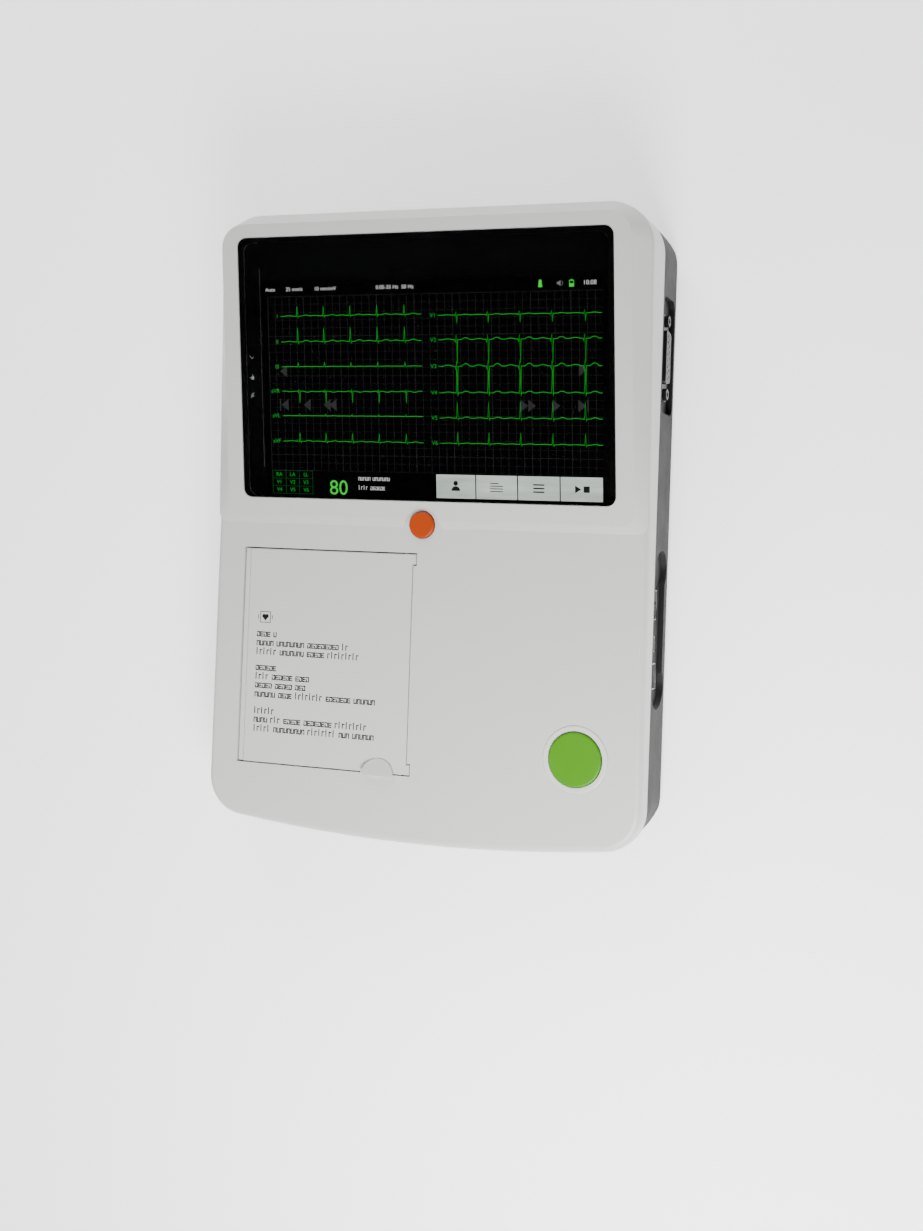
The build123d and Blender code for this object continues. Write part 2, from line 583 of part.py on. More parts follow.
with BuildPart() as motor_pinion:
    gear(PINION_AT, PINION_TEETH, TO_PINION + 180 + 180 / PINION_TEETH, MOTOR_SHAFT_R)
save(motor_pinion.part, "motor_pinion")

with BuildPart() as motor_shaft:
    rod(PINION_AT, MOTOR_SHAFT_R, (GEAR_Y[0] - 0.3, MOTOR_Y[1] - 1))
save(motor_shaft.part, "motor_shaft")

with BuildPart() as stepper_motor:
    rod(PINION_AT, MOTOR_R, MOTOR_Y)
    rod(PINION_AT, MOTOR_SHAFT_R + RUN, (MOTOR_Y[0] - 1, MOTOR_Y[1] - 0.8), Mode.SUBTRACT)
save(stepper_motor.part, "stepper_motor")

with BuildPart() as idler_axle:
    rod(IDLER_AT, MOTOR_SHAFT_R, (GEAR_Y[0] - 0.4, SIDE_PLATE_Y[1]))
save(idler_axle.part, "idler_axle")

# ---------------------------------------------------------------- print head and its frame
HEAD_X, HEAD_Z_LIMITS = (-90.1, -87.6), (-17.0, -3.6)
FRAME_X = (-93.0, -92.0)

with BuildPart() as print_head:
    block(PANEL, HEAD_X, PAPER_Y, HEAD_Z_LIMITS)
    chamfer(print_head.faces().sort_by(Axis.Z)[-1].edges(), 0.5)
save(print_head.part, "print_head")

with BuildPart() as head_springs:
    for y in (middle(PAPER_Y) - 22, middle(PAPER_Y) + 22):
        seat = PANEL.from_local_coords((FRAME_X[1], y, middle(HEAD_Z_LIMITS)))
        side_plane = Plane(origin=seat, x_dir=PANEL.y_dir, z_dir=(1, 0, 0))
        coil(side_plane, (0, 0), 2.4, 0.4, HEAD_X[0] - FRAME_X[1], 2)
save(head_springs.part, "print_head_springs")

with BuildPart() as printer_frame:
    block(PANEL, FRAME_X, (SIDE_PLATE_Y[0], LUG_Y[1][1]), (-33, -3.2))
    block(PANEL, (FRAME_X[0], -62.5), SIDE_PLATE_Y, (-33, -17.0))
    block(PANEL, (FRAME_X[0], -62.5), (SIDE_PLATE_Y[0], LUG_Y[1][1]), (-33, -32))
    rod(PINION_AT, 2 * MOTOR_SHAFT_R, grown(SIDE_PLATE_Y, 1), Mode.SUBTRACT)
    rod(IDLER_AT, MOTOR_SHAFT_R, grown(SIDE_PLATE_Y, 1), Mode.SUBTRACT)
save(printer_frame.part, "printer_frame")

# ---------------------------------------------------------------- paper tray and roll
TRAY_Y, TRAY_T = (-106.4, -15.6), 1.8
WELL_X, SHELF_X, SHELF_Z = (-58.5, -12.6), (-86.8, -57.0), (-16.6, -15.2)
TRAY_LOW, TRAY_HIGH = -37.0, -2.8
JOURNAL_R = 2.5

with BuildPart() as paper_tray:
    block(PANEL, WELL_X, TRAY_Y, (TRAY_LOW, TRAY_HIGH))
    block(PANEL, grown(WELL_X, -TRAY_T), grown(TRAY_Y, -TRAY_T),
          (TRAY_LOW + 1.4, 0), Mode.SUBTRACT)
    block(PANEL, (SHELF_X[0], SHELF_X[1] + 3), grown(TRAY_Y, -TRAY_T),
          (SHELF_Z[1], 0), Mode.SUBTRACT)
    block(PANEL, (SHELF_X[0], WELL_X[0]), TRAY_Y, SHELF_Z)
    for wall_y in ((TRAY_Y[0], TRAY_Y[0] + TRAY_T), (TRAY_Y[1] - TRAY_T, TRAY_Y[1])):
        block(PANEL, (-91.0, WELL_X[0]), wall_y, (SHELF_Z[0], TRAY_HIGH))
        # open slots: one lets the platen shaft drop in, the other holds the roll's spindle
        block(PANEL, about(PLATEN_X, 2.8), grown(wall_y, 1), (PLATEN_Z - 2.8, 0),
              Mode.SUBTRACT)
        block(PANEL, (ROLL_X - JOURNAL_R - 0.1, ROLL_X + JOURNAL_R + 0.1), grown(wall_y, 1),
              (ROLL_Z, 0), Mode.SUBTRACT)
        rod((ROLL_X, ROLL_Z), JOURNAL_R + 0.1, grown(wall_y, 1), Mode.SUBTRACT)
save(paper_tray.part, "paper_tray")

with BuildPart() as paper_roll:
    rod((ROLL_X, ROLL_Z), ROLL_R, ROLL_Y, bore=CORE_R)
save(paper_roll.part, "paper_roll")

with BuildPart() as roll_spindle:
    rod((ROLL_X, ROLL_Z), CORE_R - RUN, ROLL_Y)
    rod((ROLL_X, ROLL_Z), JOURNAL_R + 1, grown(ROLL_Y, 3))
    rod((ROLL_X, ROLL_Z), JOURNAL_R, grown(TRAY_Y, -0.2))
save(roll_spindle.part, "roll_spindle")

# ---------------------------------------------------------------- electronics
with BuildPart() as main_board:
    block(Plane.XY, (-28, 88), (17, 93), (14, 15.6))
    for x, y, w, d, h in ((0, 40, 14, 14, 1.6), (22, 36, 10, 16, 1.2), (-12, 66, 9, 9, 3), (8, 72, 16, 6, 4)):
        block(Plane.XY, (x - w / 2, x + w / 2), (y - d / 2, y + d / 2), (15.6, 15.6 + h))
save(main_board.part, "main_board")

with BuildPart() as ecg_shield:
    block(Plane.XY, (38, 84), (52, 90), (15.6, 21.6))
    fillet(ecg_shield.edges().filter_by(Axis.Z), 1.5)
save(ecg_shield.part, "ecg_shield")

with BuildPart() as power_supply:
    block(Plane.XY, (-78, -32), (36, 112), (14, 15.6))
    block(Plane.XY, (-66, -44), (74, 98), (15.6, 32))
    post(Plane.XY, [(-55, 48), (-55, 62)], 5, (15.6, 34))
save(power_supply.part, "power_supply")

with BuildPart() as battery_pack:
    block(Plane.XY, BATTERY_X, BATTERY_Y, (6.0, 26), radius=3)
save(battery_pack.part, "battery_pack")

with BuildPart() as battery_cover:
    block(Plane.XY, grown(lip_x, -GAP), grown(lip_y, -GAP), (FOOT, FOOT + COVER_STEP),
          radius=1.7)
    block(Plane.XY, BATTERY_X, BATTERY_Y, (FOOT + COVER_STEP, FLOOR_TOP))
    with BuildSketch(Plane.XY.offset(FOOT)) as grip:
        with Locations((middle(BATTERY_X), BATTERY_Y[1] - 8)):
            with GridLocations(0, 2.4, 1, 4):
                SlotOverall(18, 1.1)
    extrude(grip.sketch, amount=0.5, mode=Mode.SUBTRACT)
    for y in grown(lip_y, -2):
        post(Plane.XY, [(middle(BATTERY_X), y)], 1.2, (0, FLOOR_TOP), Mode.SUBTRACT)
save(battery_cover.part, "battery_cover")

with BuildPart() as cover_screws:
    for y in grown(lip_y, -2):
        post(Plane.XY, [(middle(BATTERY_X), y)], 1.9, (FOOT - 0.9, FOOT))
        post(Plane.XY, [(middle(BATTERY_X), y)], 0.9, (FOOT, FLOOR_TOP + 3))
save(cover_screws.part, "battery_cover_screws")

with BuildPart() as speaker:
    post(Plane.XY, [SPEAKER_AT], SPEAKER_R, (FLOOR_TOP, FLOOR_TOP + 2))
    post(Plane.XY, [SPEAKER_AT], 0.6 * SPEAKER_R, (FLOOR_TOP + 2, FLOOR_TOP + 6))
save(speaker.part, "speaker")

# ---------------------------------------------------------------- sockets on the right
JACK_PITCH, JACK_BORE = 33.3, 1.2
PATIENT_AT = 79.7
FACE = -RECESS - SEAM_STEP  # floor of the recesses, from the side plane

with BuildPart() as patient_socket:
    block(RIGHT, about(PATIENT_AT, 19.6), about(PORT_Z, 6.2), (FACE, FACE + 0.8), radius=2)
    with BuildSketch(RIGHT.offset(FACE + 0.8)) as shell:
        with Locations((PATIENT_AT, PORT_Z)):
            Trapezoid(25, 8.4, 80, align=(Align.CENTER, Align.CENTER), rotation=180)
        fillet(shell.vertices(), 1.6)
    extrude(shell.sketch, amount=1.9)
    block(RIGHT, about(PATIENT_AT, 12), about(PORT_Z, 5), (FACE - 12, FACE))
    with BuildSketch(RIGHT.offset(FACE + 2.7)) as contacts:
        with Locations((PATIENT_AT, PORT_Z + 1.4)):
            with GridLocations(2.77, 0, 8, 1):
                Circle(0.55)
        with Locations((PATIENT_AT, PORT_Z - 1.4)):
            with GridLocations(2.77, 0, 7, 1):
                Circle(0.55)
    extrude(contacts.sketch, amount=-4, mode=Mode.SUBTRACT)
    for y in (PATIENT_AT - JACK_PITCH / 2, PATIENT_AT + JACK_PITCH / 2):
        post(RIGHT, [(y, PORT_Z)], 1.5, (FACE - 1, FACE + 2), Mode.SUBTRACT)
save(patient_socket.part, "patient_socket")

with BuildPart() as jack_screws:
    for y in (PATIENT_AT - JACK_PITCH / 2, PATIENT_AT + JACK_PITCH / 2):
        with BuildSketch(RIGHT.offset(FACE + 0.8)) as hexagon:
            with Locations((y, PORT_Z)):
                RegularPolygon(2.7, 6)
        extrude(hexagon.sketch, amount=1.9)
        post(RIGHT, [(y, PORT_Z)], 1.5, (FACE - 6, FACE + 0.8))
        post(RIGHT, [(y, PORT_Z)], JACK_BORE, about(FACE, 4), Mode.SUBTRACT)
save(jack_screws.part, "jack_screws")


def port(y, z, depth, wall, tongue):
    """A metal port shell open to the right, with a tongue inside it."""
    block(RIGHT, y, z, (FACE - depth, FACE + 0.2))
    inside_y, inside_z = grown(y, -wall), grown(z, -wall)
    block(RIGHT, inside_y, inside_z, (FACE - depth + 1.5, FACE + 1), Mode.SUBTRACT)
    block(RIGHT, (inside_y[0] + tongue[0], inside_y[1] - tongue[0]), tongue[1:], (FACE - depth, FACE - 1))


with BuildPart() as usb_host_socket:
    port((-38.4, -25.0), about(PORT_Z, 3.2), 12, 0.5, (0.8, PORT_Z + 0.6, PORT_Z + 2.2))
save(usb_host_socket.part, "usb_host_socket")

with BuildPart() as service_socket:
    port((-52.4, -45.6), about(PORT_Z, 2.0), 8, 0.4, (0.8, PORT_Z - 0.4, PORT_Z + 0.5))
save(service_socket.part, "service_socket")

with BuildPart() as usb_device_socket:
    port((-69.2, -57.4), about(PORT_Z, 5.4), 12, 0.6, (2.6, PORT_Z - 1.6, PORT_Z + 1.6))
save(usb_device_socket.part, "usb_device_socket")

with BuildPart() as interface_board:
    block(Plane.XY, (76, 88.5), (-74, -18), (9.5, 11.1))
save(interface_board.part, "interface_board")

# ---------------------------------------------------------------- mains side on the left
OUTER = -SEAM_STEP
with BuildPart() as mains_inlet:
    block(LEFT, about(-INLET_Y, 13.6), about(PORT_Z, 10.0), (-24, OUTER), radius=1.8)
    with BuildSketch(LEFT.offset(OUTER)) as cavity:
        with Locations((-INLET_Y, PORT_Z)):
            Rectangle(24, 16.4)
        chamfer(cavity.vertices().group_by(Axis.Y)[-1], 4)
    extrude(cavity.sketch, amount=-17, mode=Mode.SUBTRACT)
save(mains_inlet.part, "mains_inlet")

with BuildPart() as inlet_pins:
    for y, z in ((-7, -1), (7, -1), (0, 3)):
        block(LEFT, (-INLET_Y + y - 1, -INLET_Y + y + 1), (PORT_Z + z - 2, PORT_Z + z + 2), (-17.4, -5))
save(inlet_pins.part, "inlet_pins")

with BuildPart() as fuse_holders:
    post(LEFT, [(-y, PORT_Z) for y in FUSE_Y], 6.1, (-20, OUTER))
    with BuildSketch(LEFT.offset(OUTER)) as slot:
        with Locations(*[(-y, PORT_Z) for y in FUSE_Y]):
            Rectangle(8, 1.2)
    extrude(slot.sketch, amount=-1.4, mode=Mode.SUBTRACT)
save(fuse_holders.part, "fuse_holders")

with BuildPart() as earth_stud:
    post(LEFT, [(-EARTH_Y, PORT_Z)], 2.0, (-15, -BACKING - SEAM_STEP))
    post(LEFT, [(-EARTH_Y, PORT_Z)], 4.4, (-BACKING - SEAM_STEP, -BACKING + 0.8))
    post(LEFT, [(-EARTH_Y, PORT_Z)], 3.0, (-BACKING + 0.8, OUTER))
save(earth_stud.part, "earth_stud")

# ---------------------------------------------------------------- flat cable inside
RIBBON_T = 0.5
with BuildPart() as display_cable:
    bends = [(60, 48.4), (60, 38), (84, 30), (84, 15.7)]
    with BuildSketch(Plane.YZ.offset(20)) as ribbon:
        with BuildLine():
            Polyline(*bends, *[(y + RIBBON_T, z + RIBBON_T / 2) for y, z in reversed(bends)], close=True)
        make_face()
    extrude(ribbon.sketch, amount=16)
save(display_cable.part, "display_cable")
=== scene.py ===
import bmesh
import bpy
from math import cos, pi, radians, sin
from mathutils import Matrix, Vector


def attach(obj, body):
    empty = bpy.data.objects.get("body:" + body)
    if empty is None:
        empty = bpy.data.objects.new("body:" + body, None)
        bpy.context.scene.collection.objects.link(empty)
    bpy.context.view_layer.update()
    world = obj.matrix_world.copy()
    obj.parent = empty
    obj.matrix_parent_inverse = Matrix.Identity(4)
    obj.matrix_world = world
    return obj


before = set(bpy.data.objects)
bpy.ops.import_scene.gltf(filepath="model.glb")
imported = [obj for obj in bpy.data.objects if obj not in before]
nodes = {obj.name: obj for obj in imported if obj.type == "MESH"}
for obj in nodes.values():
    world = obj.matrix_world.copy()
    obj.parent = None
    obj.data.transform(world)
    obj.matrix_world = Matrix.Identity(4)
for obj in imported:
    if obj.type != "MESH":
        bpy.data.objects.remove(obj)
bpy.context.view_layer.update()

# ---------------------------------------------------------------- the casing's planes, metres
MM = 0.001
CREASE = Vector((0, -1.0, 46.0)) * MM  # fold between the control panel and the display pod
PANEL_TILT, POD_TILT, POD_STEP = radians(1.5), radians(9.6), 0.7 * MM


def tilted(origin, tilt):
    """Matrix of a plane that rises towards the display end: x right, y up the plane, z out of it."""
    return Matrix.Translation(origin) @ Matrix.Rotation(tilt, 4, "X")


PANEL = tilted(CREASE, PANEL_TILT)
POD = tilted(CREASE + Vector((0, 0, POD_STEP)), POD_TILT)


# ---------------------------------------------------------------- node material helpers
class Look:
    """A node material built up in a few calls, with one Principled shader at its end."""

    def __init__(self, name, **sockets):
        self.material = bpy.data.materials.new(name)
        self.material.use_nodes = True
        self.tree = self.material.node_tree
        self.shader = self.tree.nodes["Principled BSDF"]
        for socket, value in sockets.items():
            self.shader.inputs[socket.replace("_", " ")].default_value = value
        self.where = self.add("ShaderNodeTexCoord").outputs["Object"]

    def add(self, kind, inputs=(), **settings):
        node = self.tree.nodes.new(kind)
        for key, value in settings.items():
            setattr(node, key, value)
        for socket, value in dict(inputs).items():
            if isinstance(value, bpy.types.NodeSocket):
                self.tree.links.new(value, node.inputs[socket])
            else:
                node.inputs[socket].default_value = value
        return node

    def noise(self, scale, detail=4.0, roughness=0.5, stretch=None):
        """Noise over the object's own coordinates, in cycles per metre, stretched if asked."""
        where = self.where
        if stretch:
            where = self.add("ShaderNodeMapping", {"Vector": where, "Scale": stretch}).outputs[0]
        values = {"Vector": where, "Scale": scale, "Detail": detail, "Roughness": roughness}
        return self.add("ShaderNodeTexNoise", values).outputs["Fac"]

    def ramp(self, value, *stops):
        """A value or colour ramp through (position, colour) stops."""
        node = self.add("ShaderNodeValToRGB", {"Fac": value})
        marks = node.color_ramp.elements
        while len(marks) < len(stops):
            marks.new(0.5)
        for mark, (position, colour) in zip(marks, stops):
            mark.position = position
            mark.color = colour if len(colour) == 4 else (*colour, 1)
        return node.outputs["Color"]

    def spread(self, value, low, high):
        """The value mapped from 0.3..0.7, where noise lies, to low..high."""
        inputs = {"Value": value, "From Min": 0.3, "From Max": 0.7, "To Min": low, "To Max": high}
        return self.add("ShaderNodeMapRange", inputs).outputs[0]

    def link(self, value, socket):
        self.tree.links.new(value, self.shader.inputs[socket])

    def bump(self, height, distance, strength=1.0, after=None):
        """Bump from a height; several are chained through after."""
        inputs = {"Height": height, "Distance": distance, "Strength": strength}
        if after:
            inputs["Normal"] = after
        return self.add("ShaderNodeBump", inputs).outputs["Normal"]


def shade(colour, factor):
    """A colour made darker or lighter."""
    return tuple(min(1.0, part * factor) for part in colour[:3])


def moulded(name, colour, rough, grain, grain_scale, tint, coat=0.0, shine=0.5):
    """Injection-moulded plastic: fine spark-eroded grain, faint flow mottling, uneven gloss."""
    look = Look(name, IOR=1.48, Specular_IOR_Level=shine, Coat_Weight=coat, Coat_Roughness=0.25)
    flow = look.noise(9, 5, 0.6)
    dull, bright = shade(colour, 1 - tint), shade(colour, 1 + tint)
    look.link(look.ramp(flow, (0.3, dull), (0.7, bright)), "Base Color")
    look.link(look.spread(look.noise(60, 6, 0.7), rough - 0.05, rough + 0.06), "Roughness")
    fine = look.bump(look.noise(grain_scale, 2), grain * MM, 0.5)
    look.link(look.bump(look.noise(28, 3), 0.05 * MM, 0.25, fine), "Normal")
    return look.material


def metal(name, colour, rough, stretch=(1, 40, 1)):
    """Metal with drawn or brushed grain, and dulled patches where it has been handled."""
    look = Look(name, Metallic=1.0)
    lines = look.noise(220, 3, 0.6, stretch)
    look.link(look.ramp(lines, (0.3, shade(colour, 0.86)), (0.7, shade(colour, 1.06))), "Base Color")
    look.link(look.spread(look.noise(90, 5, 0.65), rough - 0.08, rough + 0.12), "Roughness")
    look.link(look.bump(lines, 0.01 * MM, 0.5), "Normal")
    return look.material


def rubber(name, colour, rough=0.75):
    """Soft rubber: matt, dusty in patches, faintly ground."""
    look = Look(name, IOR=1.5, Sheen_Weight=0.15, Sheen_Roughness=0.5)
    dust = look.noise(160, 6, 0.7)
    look.link(look.ramp(dust, (0.45, colour), (0.75, shade(colour, 2.2))), "Base Color")
    look.link(look.spread(look.noise(700, 3), rough - 0.1, rough + 0.1), "Roughness")
    look.link(look.bump(look.noise(1800, 2), 0.02 * MM, 0.6), "Normal")
    return look.material


def circuit_board(name, colour):
    """Solder mask over copper: darker blocks with brighter channels between them."""
    look = Look(name, IOR=1.5, Coat_Weight=0.35, Coat_Roughness=0.12)
    inputs = {"Vector": look.where, "Scale": 260.0, "Randomness": 0.6}
    cells = look.add("ShaderNodeTexVoronoi", inputs, distance="MANHATTAN")
    tracks = look.ramp(cells.outputs["Distance"], (0.25, shade(colour, 0.7)), (0.34, shade(colour, 1.5)))
    look.link(tracks, "Base Color")
    look.link(look.spread(look.noise(300, 3), 0.3, 0.5), "Roughness")
    look.link(look.bump(cells.outputs["Distance"], 0.02 * MM, 0.5), "Normal")
    return look.material


def thermal_paper(name, colour):
    """Smooth coated paper: warm white with faint fibre."""
    look = Look(name, IOR=1.4, Sheen_Weight=0.1)
    fibre = look.noise(900, 5, 0.7, (1, 0.3, 1))
    look.link(look.ramp(fibre, (0.3, shade(colour, 0.95)), (0.7, colour)), "Base Color")
    look.link(look.spread(fibre, 0.55, 0.7), "Roughness")
    look.link(look.bump(look.noise(2400, 2), 0.01 * MM, 0.5), "Normal")
    return look.material


def glowing(name, colour, strength, base=(0.001, 0.001, 0.001), flicker=0.15):
    """A lit part of the screen; the light varies a little over the pixels."""
    look = Look(name, Roughness=0.8, Specular_IOR_Level=0.02, Emission_Strength=strength)
    grain = look.noise(1500, 2)
    look.link(look.ramp(grain, (0.35, shade(colour, 1 - flicker)), (0.65, colour)), "Emission Color")
    look.link(look.ramp(grain, (0.3, base), (0.7, shade(base, 1.4))), "Base Color")
    return look.material


def touch_glass_look(name):
    """Clear cover glass with the faintest finger smears."""
    look = Look(name, Transmission_Weight=1.0, IOR=1.4, Specular_IOR_Level=0.3)
    smear = look.noise(14, 6, 0.75)
    look.link(look.ramp(smear, (0.3, (0.90, 0.92, 0.92)), (0.7, (0.96, 0.97, 0.97))), "Base Color")
    look.link(look.spread(smear, 0.01, 0.05), "Roughness")
    return look.material


def soft_key_look(name):
    """A lit soft key: a pale green-grey face with fine streaks."""
    look = Look(name, Roughness=0.6, Specular_IOR_Level=0.05, Emission_Strength=1.15)
    streaks = look.noise(160, 3, 0.6, (0.15, 1, 1))
    lit = look.ramp(streaks, (0.25, (0.42, 0.50, 0.44)), (0.75, (0.80, 0.86, 0.80)))
    look.link(lit, "Emission Color")
    look.link(look.ramp(streaks, (0.3, (0.02, 0.02, 0.02)), (0.7, (0.03, 0.03, 0.03))), "Base Color")
    return look.material


def ink(name, colour):
    """Screen-printed ink, slightly broken at its edges and uneven in depth."""
    look = Look(name, Specular_IOR_Level=0.15)
    depth = look.noise(1200, 4, 0.7)
    look.link(look.ramp(depth, (0.3, shade(colour, 0.8)), (0.75, shade(colour, 1.6))), "Base Color")
    look.link(look.spread(depth, 0.45, 0.6), "Roughness")
    return look.material


# ---------------------------------------------------------------- finishes of the carried-over pieces
WHITE = (0.54, 0.545, 0.528)
WHITE_ABS = moulded("white_abs", WHITE, 0.40, 0.012, 2400, 0.012, 0.05)
DOOR_ABS = moulded("door_abs", shade(WHITE, 1.01), 0.42, 0.012, 2400, 0.012, 0.05)
# the print button's bezel is the casing white made 10 percent lighter: a painted highlight for the light
# ring round the button
BEZEL_PAINTED_HIGHLIGHT_ABS = moulded("bezel_painted_highlight_abs", shade(WHITE, 1.10), 0.34, 0.006, 2400, 0.010, 0.1)
DARK_ABS = moulded("dark_abs", (0.010, 0.0103, 0.0103), 0.6, 0.035, 1500, 0.08, shine=0.25)
GREEN_CAP = moulded("green_cap", (0.052, 0.215, 0.0004), 0.42, 0.008, 2200, 0.04, shine=0.25)
ORANGE_CAP = moulded("orange_cap", (0.350, 0.038, 0.001), 0.42, 0.008, 2200, 0.05, shine=0.25)
BLACK_ABS = moulded("black_abs", (0.012, 0.012, 0.013), 0.42, 0.02, 1800, 0.2)
TRAY_ABS = moulded("tray_abs", (0.10, 0.105, 0.11), 0.5, 0.03, 1600, 0.08)
ACETAL = moulded("acetal", (0.66, 0.64, 0.56), 0.33, 0.006, 2600, 0.03)
FILM = moulded("laminate_film", (0.50, 0.44, 0.30), 0.3, 0.004, 2600, 0.05, 0.3)
MASK = moulded("mask_print", (0.0032, 0.0033, 0.0034), 0.8, 0.004, 2600, 0.2, shine=0.02)
PANEL_OFF = moulded("screen_off", (0.0008, 0.0008, 0.0009), 0.8, 0.002, 2600, 0.2, shine=0.02)
DARK_ZINC = metal("black_zinc", (0.055, 0.055, 0.058), 0.42)
PLATED = metal("plated_steel", (0.60, 0.60, 0.61), 0.30)
SPRING_STEEL = metal("spring_steel", (0.52, 0.52, 0.53), 0.25, (1, 8, 1))
HEAD_STEEL = metal("print_head_steel", (0.34, 0.33, 0.32), 0.38)
BRASS = metal("contact_brass", (0.70, 0.52, 0.22), 0.28)
FEET = rubber("foot_rubber", (0.020, 0.020, 0.021))
PLATEN = rubber("platen_rubber", (0.030, 0.030, 0.032), 0.6)
BOARD = circuit_board("board_mask", (0.010, 0.085, 0.032))
PAPER = thermal_paper("thermal_paper", (0.82, 0.80, 0.76))
GLASS = touch_glass_look("cover_glass")
LED_OFF = moulded("led_lens", (0.30, 0.36, 0.30), 0.25, 0.004, 2600, 0.05, 0.3)

FINISHES = {
    WHITE_ABS: ("front_shell",),
    DOOR_ABS: ("paper_door", "door_tab"),
    BEZEL_PAINTED_HIGHLIGHT_ABS: ("print_button_bezel",),
    DARK_ABS: ("rear_shell", "battery_cover"),
    GREEN_CAP: ("print_button",),
    ORANGE_CAP: ("power_button",),
    BLACK_ABS: ("power_switch", "print_switch", "battery_pack", "speaker", "mains_inlet",
                "fuse_holders"),
    TRAY_ABS: ("paper_tray",),
    ACETAL: ("platen_bushes", "platen_gear", "idler_gear", "motor_pinion", "roll_spindle"),
    FILM: ("display_cable",),
    MASK: ("display_mask",),
    PANEL_OFF: ("lcd_panel",),
    PLATED: ("case_screws", "battery_cover_screws", "hinge_pins", "printer_frame", "lcd_bracket",
             "stepper_motor", "ecg_shield", "usb_host_socket", "service_socket", "usb_device_socket",
             "platen_shaft", "motor_shaft", "idler_axle"),
    DARK_ZINC: ("patient_socket", "jack_screws"),
    SPRING_STEEL: ("power_button_spring", "print_button_spring", "print_head_springs"),
    HEAD_STEEL: ("print_head",),
    BRASS: ("inlet_pins", "earth_stud"),
    FEET: ("rubber_feet", "seam_gasket"),
    PLATEN: ("platen_rubber",),
    BOARD: ("power_board", "print_board", "main_board", "power_supply", "interface_board"),
    PAPER: ("paper_roll",),
    GLASS: ("touch_glass",),
    LED_OFF: ("status_leds",),
}
for finish, names in FINISHES.items():
    for name in names:
        held = nodes[name].data.materials
        held.clear()
        held.append(finish)


# ---------------------------------------------------------------- thin printed and lit shapes
class Sheet:
    """Collects thin raised shapes on one plane, in its own millimetres, into one mesh piece."""

    def __init__(self, plane, height, thickness=0.03):
        self.plane, self.height, self.thickness = plane, height, thickness
        self.mesh = bmesh.new()

    def polygon(self, corners):
        """A thin plate with the given outline."""
        low, high = self.height, self.height + self.thickness
        if area(corners) < 0:
            corners = corners[::-1]
        under = [self.mesh.verts.new(self.plane @ (Vector((x, y, low)) * MM)) for x, y in corners]
        over = [self.mesh.verts.new(self.plane @ (Vector((x, y, high)) * MM)) for x, y in corners]
        self.mesh.faces.new(over)
        self.mesh.faces.new(under[::-1])
        for i in range(len(corners)):
            j = (i + 1) % len(corners)
            self.mesh.faces.new((under[i], under[j], over[j], over[i]))

    def bar(self, x0, y0, x1, y1):
        """A rectangle between two corners."""
        self.polygon([(x0, y0), (x1, y0), (x1, y1), (x0, y1)])

    def stroke(self, a, b, width):
        """A straight stroke from a to b."""
        along = Vector((b[0] - a[0], b[1] - a[1])).normalized() * width / 2
        side = Vector((-along.y, along.x))
        corners = [Vector(a) - along - side, Vector(b) + along - side,
                   Vector(b) + along + side, Vector(a) - along + side]
        self.polygon([tuple(corner) for corner in corners])

    def disc(self, centre, radius, start=0, end=360, steps=20):
        """A disc, or a slice of one."""
        turn = [radians(start + (end - start) * i / steps) for i in range(steps + (end - start < 360))]
        self.polygon([(centre[0] + radius * cos(t), centre[1] + radius * sin(t)) for t in turn])

    def ring(self, centre, radius, width, start=0, end=360, steps=24):
        """A ring, or part of one, as short strokes."""
        turn = [radians(start + (end - start) * i / steps) for i in range(steps + 1)]
        spots = [(centre[0] + radius * cos(t), centre[1] + radius * sin(t)) for t in turn]
        for a, b in zip(spots, spots[1:]):
            self.stroke(a, b, width)

    def frame(self, centre, half_width, half_height, width):
        """The outline of a rectangle, in strokes."""
        x, y = centre
        corners = [(x - half_width, y - half_height), (x + half_width, y - half_height),
                   (x + half_width, y + half_height), (x - half_width, y + half_height)]
        for a, b in zip(corners, corners[1:] + corners[:1]):
            self.stroke(a, b, width)

    def finish(self, name, look, body="base", slot="black_plastic"):
        """Turn what was collected into a piece."""
        data = bpy.data.meshes.new(name)
        self.mesh.to_mesh(data)
        self.mesh.free()
        return settle(name, data, look, body)


def area(corners):
    """Signed area of a polygon, positive when its corners run anticlockwise."""
    pairs = zip(corners, corners[1:] + corners[:1])
    return sum(a[0] * b[1] - b[0] * a[1] for a, b in pairs) / 2


def settle(name, data, look, body="base"):
    """Make the piece, give it its look, and let it ride on its body."""
    piece = bpy.data.objects.new(name, data)
    bpy.context.collection.objects.link(piece)
    data.materials.append(look)
    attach(piece, body)
    return piece


LETTER_DEPTH = 0.012


def lettering(name, words, at, size, look, height, align="LEFT"):
    """Lit lettering on the screen: lead names, settings and plain numbers only."""
    data = bpy.data.curves.new(name, "FONT")
    data.body = words
    data.size = size * MM
    data.extrude = LETTER_DEPTH * MM
    data.align_x = align
    data.align_y = "CENTER"
    piece = settle(name, data, look)
    piece.matrix_world = POD @ Matrix.Translation(Vector((*at, height)) * MM)
    return piece


def wire(name, plane, runs, radius, height, look):
    """Round glowing lines through runs of points on a plane."""
    data = bpy.data.curves.new(name, "CURVE")
    data.dimensions = "3D"
    data.bevel_depth = radius * MM
    data.bevel_resolution = 1
    for run in runs:
        spline = data.splines.new("POLY")
        spline.points.add(len(run) - 1)
        for point, (x, y) in zip(spline.points, run):
            point.co = (*(plane @ (Vector((x, y, height)) * MM)), 1)
    return settle(name, data, look)


# ---------------------------------------------------------------- what the screen shows
SCREEN = (-78.6, 12.9, 85.1, 112.1)  # left, low, right, high of the lit area
GRID = (-76.5, 24.6, 84.9, 105.6)
GRID_STEP, GRID_BOLD = 3.68, 5  # every fifth line is bolder
THIN_UPRIGHT, BOLD_UPRIGHT = 0.10, 0.15  # half the width of a line
THIN_LEVEL, BOLD_LEVEL = 0.07, 0.12
